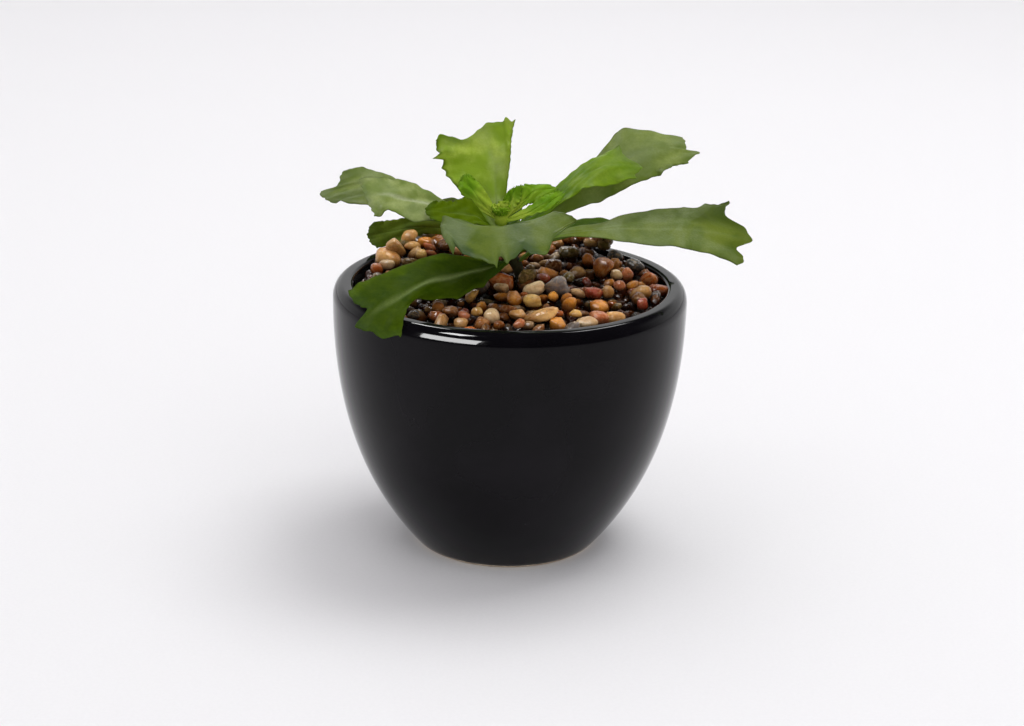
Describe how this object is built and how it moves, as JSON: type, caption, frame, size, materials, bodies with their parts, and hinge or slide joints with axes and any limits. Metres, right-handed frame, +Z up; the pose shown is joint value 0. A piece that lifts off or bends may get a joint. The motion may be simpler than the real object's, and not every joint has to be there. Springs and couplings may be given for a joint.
{
  "type": "potted echeveria",
  "caption": "Loose rosette of thin waved green leaves on a short stem, in a round glossy black pot topped with pebbles.",
  "frame": {"origin": "middle of the pot's flat foot, on the pot's axis", "axes": "+Z up along the pot's axis; the plant's front faces -Y, and its longest leaf points to +X"},
  "size_m": [0.1461, 0.12, 0.1445],
  "materials": {
    "black_glaze": "glossy black glaze",
    "soil": "matt growing medium",
    "pebbles": "polished, mixed browns",
    "stem": "matt",
    "young_leaf": "satin",
    "bright_leaf": "satin",
    "grey_leaf": "satin with a pale bloom",
    "dark_leaf": "satin"
  },
  "bodies": {
    "root": {"pot": "black_glaze", "growing_medium": "soil", "gravel": "pebbles", "stem": "stem", "heart": "young_leaf", "leaf_back_tall": "bright_leaf", "leaf_right_inner": "bright_leaf", "leaf_left_inner": "dark_leaf", "leaf_right_high": "grey_leaf", "leaf_right_long": "grey_leaf", "leaf_front": "grey_leaf", "leaf_left_far": "grey_leaf", "leaf_left_near": "grey_leaf", "leaf_front_left": "dark_leaf", "leaf_left_low": "dark_leaf", "leaf_back_low": "dark_leaf", "leaf_right_back": "dark_leaf"}
  },
  "joints": []
}
